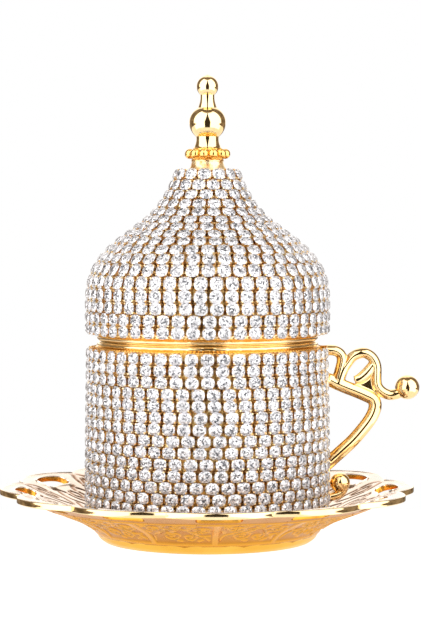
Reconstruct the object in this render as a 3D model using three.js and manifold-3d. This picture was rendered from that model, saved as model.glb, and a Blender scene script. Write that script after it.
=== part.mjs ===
// Coffee cup in a jewelled metal holder, with a domed lid and a scalloped saucer.
// Millimetres, +Z up. The origin is the centre of the saucer's foot on the table.
// +X points at the handle.

import * as THREE from 'three';
import { mergeVertices } from 'three/addons/utils/BufferGeometryUtils.js';
import Module from 'manifold-3d';

const wasm = await Module();
wasm.setup();

// Fits
const GAP = 0.3; // from a fastener or the handle to what it is fixed to
const CHAIN_GAP = 0.12; // from a row's settings to the shell
const ROW_GAP = 0.2; // least gap between two rows
const ROW_TO_BAND = 0.1; // from the top row to the holder's rim band
const NOTCH_PLAY = 0.4; // beside the handle, where it breaks a row
const WELL_CLEARANCE = 0.6; // radial, holder's foot to the saucer's well
const CUP_PLAY = 0.3; // radial, porcelain to whatever is nearest inside the holder
const LID_CLEARANCE = 0.8; // radial, lid band to the porcelain lip
const EDGE = 0.4; // chamfer of a polished edge
const GROOVE = 0.3; // between a rim band and what is below or above it
const CUT_PAST = 1; // by which a blank or a cutter reaches past the piece

// Chains of brilliants
const CHAIN_DEPTH = 2.5; // from the shell to the top of a stone
const CHAIN_WIDTH = 2.7; // of a row, across its length
const CHAIN_CROWN_W = 1.3; // of its top, where the stones' tables are
const FACET_LENGTH = 8; // of a row's ring, about two stones
const LOWEST_ROW_UP = 6.12; // above the floor of the saucer's well

// Saucer
const SAUCER_FOOT_INSET = 2.65; // inside the holder's shell
const SAUCER_FOOT_RING_W = 5;
const SAUCER_FOOT_BEVEL = 0.8;
const SAUCER_FLOOR_T = 1.4;
const SAUCER_RECESS = 0.8; // of the underside inside the foot ring
const SAUCER_WALL_T = 1.3;
const SAUCER_RIM_Z = 13.85;
const RIM_T = 1.35;
const RIM_DROP = 0.55; // of the underside, from the rim to the wall
const RIM_W = 1.5; // from a lobe's cusp in to the wall
const WELL_STEP = 0.1; // of the well, inside the foot's outer edge
const WELL_COVE = [1, 1.3]; // out and up, from the well's floor to the wall
// The wall between foot and rim: shares of its width and of its height
const SAUCER_FLARE = [[0, 0], [0.06, 0.084], [0.105, 0.23], [0.232, 0.41], [0.395, 0.565], [0.755, 0.82],
  [1, 1]];
const WALL_STARTS_AT = 3; // point of the flare where the inner face begins
const LOBES = 12;
const LOBE_PEAK_R = 54.4;
const LOBE_DEPTH = 3.7; // from a lobe's peak in to the cusps beside it
const PIERCING_BORDER = 4; // from a lobe's edge to its piercing
const PIERCING_H = 5.2;
const PIERCING_HALF_DEG = 8.4;
const PIERCING_CORNER = 0.9;
const PIERCING_TAPER = 0.86; // of its inner edge, to the outer one

// Holder
const HOLDER_RIM_Z = 52.4;
const HOLDER_R = 29.85; // shell behind the lowest row
const HOLDER_TAPER = 0.55; // by which it is narrower behind the top row
const HOLDER_RIM_INSET = 0.4; // of the rim, inside the shell's top
const HOLDER_RIM_T = 1.6;
const HOLDER_WALL_T = 1.4;
const HOLDER_FLOOR_T = 1.4;
const HOLDER_FOOT_H = 1.6; // recess under its floor
const HOLDER_FOOT_W = 3.7;
const HOLDER_FOOT_BEVEL = 0.5;
const HOLDER_FOOT_EDGE_H = 1.2; // upright part of the foot
const HOLDER_FOOT_COVE = 0.6; // of the inside, from floor to wall
const HOLDER_BAND_H = 1.75; // rim band above the top row

// Porcelain cup
const CUP_WALL_T = 2.2;
const CUP_FLOOR_T = 2.4;
const CUP_FOOT_R = 14.5;
const CUP_FOOT_W = 2.4;
const CUP_FOOT_BEVEL = 0.6;
const CUP_FOOT_H = 0.8;
const CUP_FOOT_COVE = [1.6, 1.3]; // out and up, from the foot to the wall
const CUP_LIP_ABOVE_RIM = 2.2;
const CUP_LIP_ROUND = [0.6, 0.8]; // in and down, at the lip's two edges
// Its wall: inset from the lip, and height above the foot
const CUP_WALL = [[4.4, 4.6], [1.2, 11], [0.1, 22]];

// Lid
const LID_WALL_T = 1.3;
const LID_BAND_H = 1.9;
const LID_OVERHANG = 0.25; // of the dome's widest part past the holder's top
const NECK_WALL_T = 1.1;
const NECK_TOP_H = 47.2; // above the seat
const NECK_BORE_H = 1.6;
// The neck's flare: out past the neck, and below its top
const NECK_FLARE = [[0.9, 2.8], [0.2, 1.8]];
const NECK_STEP = 2.31; // from the neck out to the dome's top
const NECK_H = 4.6; // from the dome's top to the neck's
// The dome behind its rows: shares of the way in from its widest part to its top, and up from its lowest row
const DOME = [[0.002, 0], [0, 0.147], [0.02, 0.297], [0.107, 0.412], [0.29, 0.526], [0.508, 0.623],
  [0.726, 0.73], [0.891, 0.862], [1, 1]];
const DOME_STEPS = 9;
const DOME_INNER_STEPS = 6;

// Finial
const COLLAR_H = 2.6;
const COLLAR_LEDGE = 0.3; // of the collar's top, past the stem's flange
const BEADS = 12;
const BEAD_R = 1.3;
const BEAD_RING_OUT = 0.95; // past the stem's flange
const BEAD_RING_UP = 1.4; // above the neck
const BEAD_RING_H = 0.9; // of the plain band behind the beads
const STUD_R = 1.25;
const STUD_BELOW_NUT = 0.7;
const NUT_ACROSS_FLATS = 5;
const NUT_H = 2.1;
const STEM_R = 3.1;
const STEM_H = 3.3;
const STEM_FLANGE_R = 3.8;
const STEM_FLANGE_H = 0.5;
const STEM_COVE_H = 1.8;
const STEM_TO_BALL = 0.68;
const BIG_BALL_R = 4.9;
const BIG_BALL_DEG = [-46, 54]; // of the ball that shows, from its equator
const WAIST_R = 2.3;
const WAIST_UP = 1.04; // above the big ball's top edge
const WAIST_H = 2.57; // between the balls
const SMALL_BALL_R = 3.05;
const SMALL_BALL_DEG = [-48, 75];
const FINIAL_TIP = 0.15; // point above the small ball

// Handle
const ROD_W = 2.7; // in the plane of the scroll
const ROD_T = 2.8; // across it
const BAR_W = 3; // of the long bar, in the plane of the scroll
const LEAF_W = 2.6;
const LEAF_T = 2.24;
const SCROLL_BALL_R = 3.2;
const TAIL_BALL_R = 2.65;
// Its lines: millimetres out from the holder's shell, and percent of the way from the rim down the shell
const UPPER_ARM = [[-0.6, 6.6], [2.2, 6.1], [3.9, 6.6], [5.2, 8.6], [5.6, 11.8], [5.2, 16.2], [4.4, 22.7]];
const SCROLL = [[4.7, 25.1], [5.8, 17.9], [6.9, 14], [8.3, 10.2], [10, 8.2], [11.7, 7.9], [13.3, 9.8],
  [14.3, 13], [14.7, 16.8], [14.7, 24.1], [15.2, 27.8], [16.4, 30.4], [18, 31.9], [19.7, 31.7],
  [21.2, 30.3], [22.5, 27.7]];
const LEAF = [[14.2, 12.9], [13.1, 16.8], [11.9, 20], [10.4, 22.6], [9, 23.6]];
const BAR = [[0.8, 22.3], [2.5, 23.3], [4.1, 25], [6.8, 27.5], [9.5, 29.9], [11.9, 32.3], [13.6, 34.9],
  [14.2, 38.2], [13.9, 41.9], [13.1, 45.9], [11.5, 50.7], [8.8, 57.6], [5.6, 64.2], [2.2, 70.9], [0.6, 73.9]];
const TAIL = [[0.6, 91.6], [3.2, 90.8], [5.1, 89], [6.1, 86.4], [5.2, 83.8]];
const SCROLL_BALL = [22.9, 27.7];
const TAIL_BALL = [5.15, 82.6];
const MID_ROOT = 22.3; // percent down, as above, of the middle root's screw
const LOWER_ROOT = 79.6;
const STRIP_TOP = 70.4;
const STRIP_BOTTOM = 93.2;
const STRIP_HALF_W = 1.7;
const STRIP_SUNK = 0.2; // of the strip and boss, below the tops of the stones
const BOSS_SWELL = 0.55; // of the middle root, past the rod
const SCREW_R = 0.7;
const SCREW_GRIP = 1.7; // depth of thread in the handle
const SCREW_HEAD_R = 1.4;
const SCREW_HEAD_T = 0.9;

const SIDES = 36; // of the round castings
const SIDE_TURN = Math.PI / SIDES; // puts the middle of a side on +X
const BAR_SIDES = 12;
const HOLE_SIDES = 8;

const GOLD = new THREE.MeshStandardMaterial({ color: 0xd9a441, metalness: 1, roughness: 0.2 });
const STEEL = new THREE.MeshStandardMaterial({ color: 0xb9bcc0, metalness: 1, roughness: 0.35 });
const STONES = new THREE.MeshStandardMaterial({ color: 0xdfe3e8, metalness: 0.1, roughness: 0.08 });
const PORCELAIN = new THREE.MeshStandardMaterial({ color: 0xf6f4ef, metalness: 0, roughness: 0.12 });

const part = new THREE.Group();
const rad = (degrees) => degrees * Math.PI / 180;
const twoDigits = (index) => String(index + 1).padStart(2, '0');

function place(name, geometry, material) {
  const mesh = new THREE.Mesh(geometry, material);
  mesh.name = name;
  part.add(mesh);
}

// A closed geometry as a solid for cutting and joining
function toSolid(geometry) {
  const bare = geometry.clone();
  bare.deleteAttribute('normal');
  bare.deleteAttribute('uv');
  const merged = mergeVertices(bare, 1e-4);
  return new wasm.Manifold(new wasm.Mesh({
    numProp: 3,
    vertProperties: new Float32Array(merged.attributes.position.array),
    triVerts: new Uint32Array(merged.index.array),
  }));
}

function toGeometry(solid) {
  const mesh = solid.getMesh();
  const geometry = new THREE.BufferGeometry();
  geometry.setAttribute('position', new THREE.BufferAttribute(mesh.vertProperties, 3));
  geometry.setIndex(new THREE.BufferAttribute(mesh.triVerts, 1));
  return geometry;
}

// Revolves [radius, height] points round Z. The points run anticlockwise with the radius to the right.
function turned(points, sides = SIDES, turn = SIDE_TURN) {
  const profile = points.map(([r, z]) => new THREE.Vector2(r, z));
  return new THREE.LatheGeometry(profile, sides).rotateX(Math.PI / 2).rotateZ(turn);
}

// A closed ring profile, for what has a hole along its axis
function ring(points, sides, turn) {
  return turned([...points, points[0]], sides, turn);
}

// A profile moved sideways, to the left of its direction when the distance is positive
function offset(points, distance) {
  return points.map(([r, z], i) => {
    const before = points[Math.max(i - 1, 0)];
    const after = points[Math.min(i + 1, points.length - 1)];
    const length = Math.hypot(after[0] - before[0], after[1] - before[1]);
    return [r - distance * (after[1] - before[1]) / length, z + distance * (after[0] - before[0]) / length];
  });
}

// A round bar along +X
function crossBar(startX, endX, z, radius, sides = BAR_SIDES) {
  const bar = new THREE.CylinderGeometry(radius, radius, endX - startX, sides).rotateZ(Math.PI / 2);
  return toSolid(bar.translate((startX + endX) / 2, 0, z));
}

// A block centred on the XZ plane
function block(x0, x1, halfY, z0, z1) {
  const box = new THREE.BoxGeometry(x1 - x0, 2 * halfY, z1 - z0);
  return toSolid(box.translate((x0 + x1) / 2, 0, (z0 + z1) / 2));
}

// Radii and heights that more than one piece shares
const saucerFootR = HOLDER_R - SAUCER_FOOT_INSET;
const saucerFloorZ = SAUCER_RECESS + SAUCER_FLOOR_T;
const wellR = saucerFootR - WELL_STEP;
const holderTopR = HOLDER_R - HOLDER_TAPER;
const holderRimR = holderTopR - HOLDER_RIM_INSET;
const rimInnerR = holderRimR - HOLDER_RIM_T;
const holderFloorZ = saucerFloorZ + HOLDER_FOOT_H + HOLDER_FLOOR_T;
const bandZ = HOLDER_RIM_Z - HOLDER_BAND_H;
const topRowZ = bandZ - ROW_TO_BAND - CHAIN_WIDTH / 2;
const lowestRowZ = saucerFloorZ + LOWEST_ROW_UP;
const shellBottomZ = lowestRowZ - CHAIN_WIDTH / 2 - GROOVE;
const wallBottomZ = shellBottomZ + EDGE;
const stoneR = HOLDER_R + CHAIN_DEPTH;

// Outer radius of the holder's tapered shell
function shellR(z) {
  const share = (z - wallBottomZ) / (bandZ - wallBottomZ);
  return HOLDER_R - share * HOLDER_TAPER;
}

// Saucer

function lobeArc() {
  const halfLobe = Math.PI / LOBES;
  const cuspR = LOBE_PEAK_R - LOBE_DEPTH;
  const halfChord = cuspR * Math.sin(halfLobe);
  const rise = LOBE_PEAK_R - cuspR * Math.cos(halfLobe);
  const radius = (halfChord ** 2 + rise ** 2) / (2 * rise);
  return { radius, centre: LOBE_PEAK_R - radius, halfAngle: Math.asin(halfChord / radius) };
}

function scallopedOutline() {
  const lobe = lobeArc();
  const shape = new THREE.Shape();
  for (let i = 0; i < LOBES; i += 1) {
    const middle = i * 2 * Math.PI / LOBES;
    shape.absarc(lobe.centre * Math.cos(middle), lobe.centre * Math.sin(middle), lobe.radius,
      middle - lobe.halfAngle, middle + lobe.halfAngle, false);
  }
  return shape;
}

// An upright prism that reaches past both faces of the saucer
function saucerCutter(shape, curveSegments) {
  const depth = SAUCER_RIM_Z * 2;
  const prism = new THREE.ExtrudeGeometry(shape, { depth, bevelEnabled: false, curveSegments });
  return toSolid(prism.translate(0, 0, -SAUCER_RIM_Z / 2));
}

// The opening behind one lobe, a bean with its outer edge along the lobe and its inner edge round the axis
function piercing(index) {
  const lobe = lobeArc();
  const outerR = lobe.radius - PIERCING_BORDER;
  const innerR = LOBE_PEAK_R - PIERCING_BORDER - PIERCING_H;
  const half = rad(PIERCING_HALF_DEG);
  const outerSteps = 5;
  const innerSteps = 3;
  const points = [];
  for (let i = 0; i <= outerSteps; i += 1) {
    const angle = -half + i * 2 * half / outerSteps;
    const along = lobe.centre * Math.cos(angle);
    const across = lobe.centre * Math.sin(angle);
    const corner = i === 0 || i === outerSteps ? PIERCING_CORNER : 0;
    points.push([along + Math.sqrt(outerR ** 2 - across ** 2) - corner, angle]);
  }
  for (let i = 0; i <= innerSteps; i += 1) {
    points.push([innerR, half * PIERCING_TAPER * (1 - 2 * i / innerSteps)]);
  }
  const middle = index * 2 * Math.PI / LOBES;
  const outline = points.map(([r, angle]) => (
    new THREE.Vector2(r * Math.cos(angle + middle), r * Math.sin(angle + middle))));
  return saucerCutter(new THREE.Shape(outline), 1);
}

function saucer() {
  const wallR = LOBE_PEAK_R - LOBE_DEPTH - RIM_W;
  const wallZ = SAUCER_RIM_Z - RIM_T - RIM_DROP;
  const blankR = LOBE_PEAK_R + CUT_PAST;
  const flare = SAUCER_FLARE.map(([out, up]) => [saucerFootR + out * (wallR - saucerFootR), up * wallZ]);
  const underside = [...flare, [blankR, SAUCER_RIM_Z - RIM_T]];
  const innerFace = [...offset(flare.slice(WALL_STARTS_AT), SAUCER_WALL_T), [blankR, SAUCER_RIM_Z]].reverse();
  const footInnerR = saucerFootR - SAUCER_FOOT_RING_W;
  const profile = [[0, SAUCER_RECESS], [footInnerR - SAUCER_FOOT_BEVEL, SAUCER_RECESS], [footInnerR, 0],
    ...underside, ...innerFace, [wellR + WELL_COVE[0], saucerFloorZ + WELL_COVE[1]], [wellR, saucerFloorZ],
    [0, saucerFloorZ]];
  const sides = LOBES * 4;
  let solid = toSolid(turned(profile, sides, Math.PI / sides));
  solid = solid.intersect(saucerCutter(scallopedOutline(), 5));
  for (let i = 0; i < LOBES; i += 1) {
    solid = solid.subtract(piercing(i));
  }
  return toGeometry(solid);
}

place('saucer', saucer(), GOLD);

// Handle, drawn in the XZ plane and fitted to the shell

const handleZ = (percentDown) => HOLDER_RIM_Z - percentDown / 100 * (HOLDER_RIM_Z - shellBottomZ);
const midRootZ = handleZ(MID_ROOT);
const lowerRootZ = handleZ(LOWER_ROOT);
const bossR = ROD_W / 2 + BOSS_SWELL;
const gripX = HOLDER_R + GAP + SCREW_GRIP; // end of the screws' holes in the handle

// A rod with an eight-sided section along a smooth line
function rod(points, width, thickness, steps) {
  const sides = 8;
  const section = new THREE.Shape(Array.from({ length: sides }, (_, i) => {
    const angle = (i + 0.5) * 2 * Math.PI / sides;
    return new THREE.Vector2(thickness / 2 * Math.cos(angle), width / 2 * Math.sin(angle));
  }));
  const line = points.map(([out, down]) => new THREE.Vector3(HOLDER_R + out, 0, handleZ(down)));
  const extrudePath = new THREE.CatmullRomCurve3(line);
  return toSolid(new THREE.ExtrudeGeometry(section, { steps, extrudePath }));
}

function ball([out, down], radius) {
  const sphere = new THREE.SphereGeometry(radius, 12, 8).rotateX(Math.PI / 2);
  return toSolid(sphere.translate(HOLDER_R + out, 0, handleZ(down)));
}

// The space of the shell and the gap round it, from the table to above the rim
function shellSpace() {
  const topZ = HOLDER_RIM_Z + ROD_W;
  return toSolid(turned([[0, 0], [shellR(0) + GAP, 0], [shellR(topZ) + GAP, topZ], [0, topZ]]));
}

function handle() {
  const rootEndX = stoneR - STRIP_SUNK;
  const pieces = [
    rod(UPPER_ARM, ROD_W, ROD_T, 10),
    rod(SCROLL, ROD_W, ROD_T, 24),
    rod(LEAF, LEAF_W, LEAF_T, 6),
    rod(BAR, BAR_W, ROD_T, 20),
    rod(TAIL, ROD_W, ROD_T, 7),
    ball(SCROLL_BALL, SCROLL_BALL_R),
    ball(TAIL_BALL, TAIL_BALL_R),
    crossBar(holderTopR, rootEndX, midRootZ, bossR),
    block(holderTopR, rootEndX, STRIP_HALF_W, handleZ(STRIP_BOTTOM), handleZ(STRIP_TOP)),
  ];
  let solid = pieces.reduce((whole, piece) => whole.add(piece)).subtract(shellSpace());
  for (const z of [midRootZ, lowerRootZ]) {
    solid = solid.subtract(crossBar(holderTopR, gripX, z, SCREW_R + GAP, HOLE_SIDES));
  }
  return toGeometry(solid);
}

place('handle', handle(), GOLD);

// Holder

function cupHolder() {
  const holderFootR = wellR - WELL_CLEARANCE;
  const footInnerR = holderFootR - HOLDER_FOOT_W;
  const recessZ = saucerFloorZ + HOLDER_FOOT_H;
  const rimFaceZ = bandZ + GROOVE + EDGE;
  const underneath = [[0, recessZ], [footInnerR - HOLDER_FOOT_BEVEL, recessZ], [footInnerR, saucerFloorZ]];
  const outside = [[holderFootR, saucerFloorZ], [holderFootR, saucerFloorZ + HOLDER_FOOT_EDGE_H],
    [HOLDER_R - EDGE, shellBottomZ], [HOLDER_R, wallBottomZ], [holderTopR, bandZ],
    [holderRimR - EDGE, bandZ + GROOVE], [holderRimR, rimFaceZ], [holderRimR, HOLDER_RIM_Z - EDGE],
    [holderRimR - EDGE, HOLDER_RIM_Z]];
  const inside = [[rimInnerR, HOLDER_RIM_Z], [rimInnerR, rimFaceZ], [holderTopR - HOLDER_WALL_T, bandZ],
    [HOLDER_R - HOLDER_WALL_T, wallBottomZ], [holderFootR - HOLDER_FOOT_COVE, holderFloorZ],
    [0, holderFloorZ]];
  let solid = toSolid(turned([...underneath, ...outside, ...inside]));
  const holeStartX = holderTopR - 2 * HOLDER_WALL_T;
  for (const z of [midRootZ, lowerRootZ]) {
    solid = solid.subtract(crossBar(holeStartX, HOLDER_R + GAP, z, SCREW_R + GAP, HOLE_SIDES));
  }
  return toGeometry(solid);
}

place('cup_holder', cupHolder(), GOLD);

// Handle screws, put in from inside the holder

// Face of a screw's head towards the axis
function screwFaceX(z) {
  return (shellR(z - SCREW_HEAD_R) - HOLDER_WALL_T) * Math.cos(SIDE_TURN) - GAP - SCREW_HEAD_T;
}

function handleScrew(z) {
  const faceX = screwFaceX(z);
  const head = crossBar(faceX, faceX + SCREW_HEAD_T, z, SCREW_HEAD_R);
  const shank = crossBar(faceX + SCREW_HEAD_T / 2, gripX - GAP, z, SCREW_R, HOLE_SIDES);
  return toGeometry(head.add(shank));
}

place('handle_screw_upper', handleScrew(midRootZ), STEEL);
place('handle_screw_lower', handleScrew(lowerRootZ), STEEL);

// Rows of brilliants: closed chains, each with a ridge along the tops of its stones

// One row at a point of a shell, where the shell rises at the slope's angle
function strand(r, z, slope) {
  const sides = Math.max(BAR_SIDES, Math.round(2 * Math.PI * (r + CHAIN_DEPTH) / FACET_LENGTH));
  const seat = CHAIN_GAP + r * (1 / Math.cos(Math.PI / sides) - 1);
  const point = (along, out) => [
    r + along * Math.cos(slope) + out * Math.sin(slope),
    z + along * Math.sin(slope) - out * Math.cos(slope),
  ];
  const half = CHAIN_WIDTH / 2;
  const crown = CHAIN_CROWN_W / 2;
  const base = [point(-half, seat), point(half, seat)];
  const top = [point(-crown, CHAIN_DEPTH), point(crown, CHAIN_DEPTH)];
  return ring([base[0], ...top, base[1]], sides, Math.PI / sides);
}

// How many rows fit on a length of shell, with one on each end of it
function rowsOn(length) {
  return 1 + Math.floor(length / (CHAIN_WIDTH + ROW_GAP));
}

// The handle's roots as lower and upper heights. A row that meets one of them stops on both sides of it.
const rootSpans = [
  [handleZ(UPPER_ARM[0][1]) - ROD_W / 2 - GAP, HOLDER_RIM_Z],
  [midRootZ - bossR - GAP, midRootZ + bossR + GAP],
  [handleZ(STRIP_BOTTOM) - GAP, handleZ(STRIP_TOP) + GAP],
];

function placeCupRows() {
  const rows = rowsOn(topRowZ - lowestRowZ);
  const pitch = (topRowZ - lowestRowZ) / (rows - 1);
  const breakHalfW = Math.max(bossR, STRIP_HALF_W, ROD_T / 2) + NOTCH_PLAY;
  for (let i = 0; i < rows; i += 1) {
    const z = topRowZ - i * pitch;
    const bottom = z - CHAIN_WIDTH / 2;
    const top = z + CHAIN_WIDTH / 2;
    let chain = toSolid(strand(shellR(z), z, Math.PI / 2));
    if (rootSpans.some(([low, high]) => low < top && high > bottom)) {
      const cutter = block(holderTopR - CUT_PAST, stoneR + CUT_PAST, breakHalfW, bottom - GAP, top + GAP);
      chain = chain.subtract(cutter);
    }
    place(`cup_strand_${twoDigits(i)}`, toGeometry(chain), STONES);
  }
}

placeCupRows();

// Porcelain cup

const lipR = Math.min(rimInnerR, screwFaceX(midRootZ)) - CUP_PLAY;

function porcelainCup() {
  const lipZ = HOLDER_RIM_Z + CUP_LIP_ABOVE_RIM;
  const recessZ = holderFloorZ + CUP_FOOT_H;
  const floorZ = recessZ + CUP_FLOOR_T;
  const footInnerR = CUP_FOOT_R - CUP_FOOT_W;
  const [lipIn, lipDown] = CUP_LIP_ROUND;
  const wall = [[CUP_FOOT_R + CUP_FOOT_COVE[0], holderFloorZ + CUP_FOOT_COVE[1]],
    ...CUP_WALL.map(([inset, up]) => [lipR - inset, holderFloorZ + up]), [lipR, lipZ - lipDown]];
  return turned([[0, recessZ], [footInnerR - CUP_FOOT_BEVEL, recessZ], [footInnerR, holderFloorZ],
    [CUP_FOOT_R, holderFloorZ], ...wall, [lipR - lipIn, lipZ], [lipR - CUP_WALL_T + lipIn, lipZ],
    ...offset(wall, CUP_WALL_T).reverse(), [0, floorZ]]);
}

place('porcelain_cup', porcelainCup(), PORCELAIN);

// Lid

const nutCornerR = NUT_ACROSS_FLATS / 2 / Math.cos(Math.PI / 6);
const neckBoreR = nutCornerR + GAP;
const neckR = neckBoreR + NECK_WALL_T;
const neckTopZ = HOLDER_RIM_Z + NECK_TOP_H;
const roofZ = neckTopZ - LID_WALL_T;
const studHoleR = STUD_R + GAP;
const domeR = holderTopR + LID_OVERHANG;
const domeBottomZ = HOLDER_RIM_Z + LID_BAND_H + ROW_TO_BAND + CHAIN_WIDTH / 2;
const domeLine = new THREE.SplineCurve(DOME.map(([inward, upward]) => new THREE.Vector2(
  domeR - inward * (domeR - neckR - NECK_STEP),
  domeBottomZ + upward * (neckTopZ - NECK_H - domeBottomZ),
)));
const domeWall = (steps) => domeLine.getSpacedPoints(steps).map((point) => [point.x, point.y]);

function lidShell() {
  const bandTopZ = HOLDER_RIM_Z + LID_BAND_H;
  const bandInnerR = lipR + LID_CLEARANCE;
  const dome = domeWall(DOME_STEPS);
  const outside = [[holderRimR - EDGE, HOLDER_RIM_Z], [holderRimR, HOLDER_RIM_Z + EDGE],
    [holderRimR, bandTopZ - GROOVE - EDGE], [holderRimR - EDGE, bandTopZ - GROOVE], [dome[0][0], bandTopZ],
    ...dome, ...NECK_FLARE.map(([out, down]) => [neckR + out, neckTopZ - down]), [neckR, neckTopZ]];
  const inside = [[studHoleR, neckTopZ], [studHoleR, roofZ], [neckBoreR, roofZ],
    [neckBoreR, roofZ - NECK_BORE_H], ...offset(domeWall(DOME_INNER_STEPS), LID_WALL_T).reverse(),
    [bandInnerR, bandTopZ], [bandInnerR, HOLDER_RIM_Z]];
  return ring([...outside, ...inside]);
}

place('lid_shell', lidShell(), GOLD);

function placeLidRows() {
  const rows = rowsOn(domeLine.getLength());
  for (let i = 0; i < rows; i += 1) {
    const at = domeLine.getPointAt(i / (rows - 1));
    const direction = domeLine.getTangentAt(i / (rows - 1));
    const slope = Math.atan2(direction.y, direction.x);
    place(`lid_strand_${twoDigits(i)}`, strand(at.x, at.y, slope), STONES);
  }
}

placeLidRows();

// Finial

const collarTopZ = neckTopZ + COLLAR_H;
const nutBottomZ = roofZ - NUT_H;

function finialCollar() {
  const beadRingR = STEM_FLANGE_R + BEAD_RING_OUT;
  const middleZ = neckTopZ + BEAD_RING_UP;
  let solid = toSolid(ring([[studHoleR, neckTopZ], [neckR, neckTopZ], [beadRingR, middleZ - BEAD_RING_H / 2],
    [beadRingR, middleZ + BEAD_RING_H / 2], [STEM_FLANGE_R + COLLAR_LEDGE, collarTopZ],
    [studHoleR, collarTopZ]]));
  for (let i = 0; i < BEADS; i += 1) {
    const angle = (i + 0.5) * 2 * Math.PI / BEADS;
    const bead = new THREE.SphereGeometry(BEAD_R, 8, 5).rotateX(Math.PI / 2);
    solid = solid.add(toSolid(bead.translate(beadRingR, 0, middleZ).rotateZ(angle)));
  }
  return toGeometry(solid);
}

place('finial_collar', finialCollar(), GOLD);

// Points of a ball between two angles, measured up from its equator
function ballProfile(radius, centreZ, [fromDeg, toDeg]) {
  const steps = 6;
  return Array.from({ length: steps + 1 }, (_, i) => {
    const angle = rad(fromDeg + (toDeg - fromDeg) * i / steps);
    return [radius * Math.cos(angle), centreZ + radius * Math.sin(angle)];
  });
}

function finial() {
  const studBottomZ = nutBottomZ - STUD_BELOW_NUT;
  const bigZ = collarTopZ + STEM_H + STEM_TO_BALL - BIG_BALL_R * Math.sin(rad(BIG_BALL_DEG[0]));
  const bigTopZ = bigZ + BIG_BALL_R * Math.sin(rad(BIG_BALL_DEG[1]));
  const smallZ = bigTopZ + WAIST_H - SMALL_BALL_R * Math.sin(rad(SMALL_BALL_DEG[0]));
  return turned([[0, studBottomZ], [STUD_R, studBottomZ], [STUD_R, collarTopZ], [STEM_FLANGE_R, collarTopZ],
    [STEM_FLANGE_R, collarTopZ + STEM_FLANGE_H], [STEM_R, collarTopZ + STEM_COVE_H],
    [STEM_R, collarTopZ + STEM_H], ...ballProfile(BIG_BALL_R, bigZ, BIG_BALL_DEG),
    [WAIST_R, bigTopZ + WAIST_UP], ...ballProfile(SMALL_BALL_R, smallZ, SMALL_BALL_DEG),
    [0, smallZ + SMALL_BALL_R + FINIAL_TIP]], 20);
}

place('finial', finial(), GOLD);

function finialNut() {
  const blank = new THREE.CylinderGeometry(nutCornerR, nutCornerR, NUT_H, 6).rotateX(Math.PI / 2);
  const bore = new THREE.CylinderGeometry(studHoleR, studHoleR, NUT_H * 2, 20).rotateX(Math.PI / 2);
  const nut = toSolid(blank).subtract(toSolid(bore));
  return toGeometry(nut.translate([0, 0, nutBottomZ + NUT_H / 2]));
}

place('finial_nut', finialNut(), STEEL);

export default part;
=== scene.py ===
import math
import random

import bmesh
import bpy
import numpy as np
from mathutils import Matrix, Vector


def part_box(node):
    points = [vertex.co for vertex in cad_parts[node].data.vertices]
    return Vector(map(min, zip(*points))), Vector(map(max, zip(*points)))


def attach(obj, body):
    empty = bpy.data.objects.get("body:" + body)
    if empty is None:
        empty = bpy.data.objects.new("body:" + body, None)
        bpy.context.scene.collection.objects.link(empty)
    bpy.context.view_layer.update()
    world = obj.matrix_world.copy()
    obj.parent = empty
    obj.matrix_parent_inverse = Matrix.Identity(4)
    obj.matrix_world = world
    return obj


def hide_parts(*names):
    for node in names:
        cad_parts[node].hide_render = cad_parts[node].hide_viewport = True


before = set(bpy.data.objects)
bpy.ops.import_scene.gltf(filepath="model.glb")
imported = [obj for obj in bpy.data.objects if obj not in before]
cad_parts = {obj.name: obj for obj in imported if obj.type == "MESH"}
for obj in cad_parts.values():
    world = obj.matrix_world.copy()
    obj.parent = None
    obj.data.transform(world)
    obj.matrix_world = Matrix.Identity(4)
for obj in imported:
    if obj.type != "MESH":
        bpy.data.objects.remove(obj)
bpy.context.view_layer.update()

# Jewelled coffee cup with its lid, on a scalloped saucer.
# Shapes are worked out in millimetres, +Z up, and turned into metres when a mesh is made.

MM = 0.001
TAU = 2 * math.pi

# Camera, in millimetres from the axis and the table
CAMERA_DISTANCE = 600
CAMERA_HEIGHT = 87.75
CAMERA_AZIMUTH = 3.5
CAMERA_TILT = 2.76
FRAME_WIDTH_PX = 421
FRAME_HEIGHT_PX = 631
FOCAL_PX = 2294
AXIS_PX = 207.5
SENSOR_MM = 36

# Light: directions round the axis from the camera's, in radians, and heights as the sine of their angle
GAP_HALF = 0.30
GAP_NARROWS = 0.28
GAP_EDGE = 0.06
BOX_END = 1.60
BOX_END_FADE = 0.1
BOX_TOP = 0.90
BOX_TOP_FADE = 0.05
BOX_FOOT = -0.54
BOX_FOOT_FADE = 0.04
BOX_LEVEL = 2.2
LOW_BOX_END = 1.34
LOW_BOX_FOOT = -0.24
LOW_BOX_TOP = -0.06
LOW_BOX_FADE = 0.04
BACKDROP_FROM = 2.5
BACKDROP_FADE = 0.3
BACKDROP_FOOT_FADE = 0.04
BACKDROP_LEVEL = 1.2
LOWER_LEVEL = 0.95
FAR_TABLE_FROM = -0.27
FAR_TABLE_TO = -0.22
TABLE_GLOW = 0.75
GAP_COLOUR = (0.04, 0.03, 0.02)
ROOM_COLOUR = (0.34, 0.26, 0.19)
ROOM_PATCHES = 4
ROOM_LEAST = 0.25
PATCH_FROM = 0.38
PATCH_TO = 0.62

# Table, in millimetres from the axis
TABLE_FRONT = 142
TABLE_BACK = 56
TABLE_MARGIN = 1.03

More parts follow.
